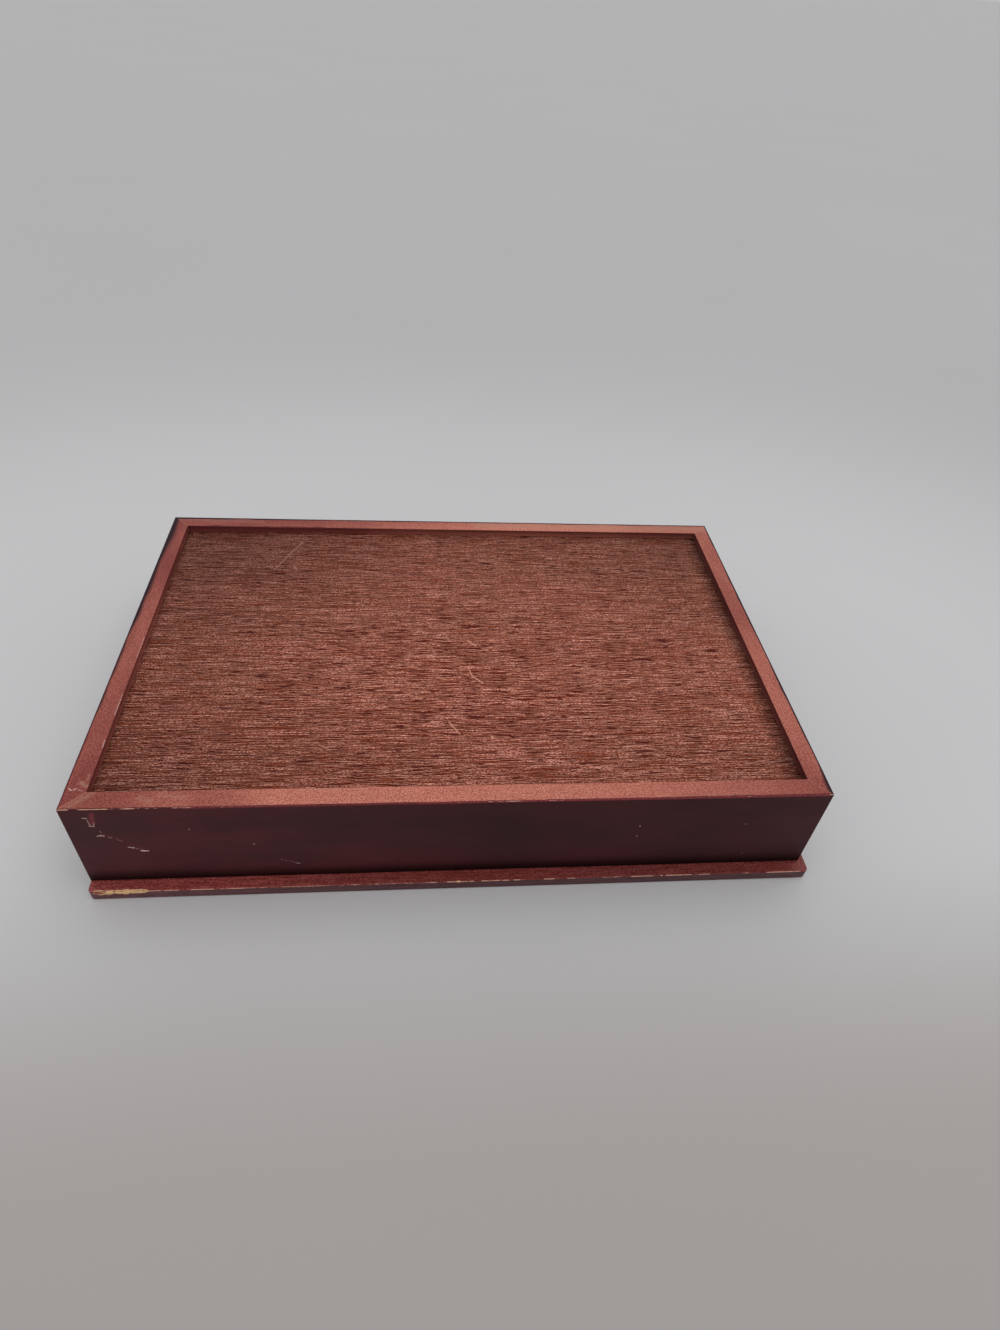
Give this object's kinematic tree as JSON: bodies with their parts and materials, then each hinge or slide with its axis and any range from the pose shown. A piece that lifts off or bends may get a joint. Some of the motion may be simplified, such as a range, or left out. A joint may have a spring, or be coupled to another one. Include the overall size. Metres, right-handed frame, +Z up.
{
  "type": "keepsake box",
  "caption": "Shallow hinged wooden box with mitred walls, a recessed plywood underside and a thin overhanging lid, lying upside down on its lid.",
  "frame": {"origin": "middle of the lid's outer face, which is the face that the upside-down box lies on", "axes": "+Z up through the underside of the box, +X to the right along its length, -Y towards the front edge, which lifts when it opens"},
  "size_m": [0.308, 0.213, 0.0526],
  "materials": {
    "stained_wall": "dark red stain under satin lacquer, worn along the edges",
    "stained_lid": "dark red stain under satin lacquer, worn along the edges",
    "stained_plywood": "red-brown stain soaked into open grain, matte",
    "hinge_brass": "rolled brass, dulled",
    "pin_brass": "drawn brass, dulled",
    "screw_brass": "turned brass, dulled"
  },
  "bodies": {
    "lid": {"lid_panel": "stained_lid", "left_hinge_lid_leaf": "hinge_brass", "right_hinge_lid_leaf": "hinge_brass", "left_hinge_lid_screws": "screw_brass", "right_hinge_lid_screws": "screw_brass"},
    "box": {"front_wall": "stained_wall", "right_wall": "stained_wall", "back_wall": "stained_wall", "left_wall": "stained_wall", "bottom_panel": "stained_plywood", "left_hinge_wall_leaf": "hinge_brass", "right_hinge_wall_leaf": "hinge_brass", "left_hinge_pin": "pin_brass", "right_hinge_pin": "pin_brass", "left_hinge_wall_screws": "screw_brass", "right_hinge_wall_screws": "screw_brass"}
  },
  "joints": [
    {"name": "lid_hinge", "type": "hinge", "parent": "lid", "child": "box", "pos_m": [-0.0015, 0.10165, 0.0051], "axis": [-1, 0, 0], "range_deg": [0, 96]}
  ]
}
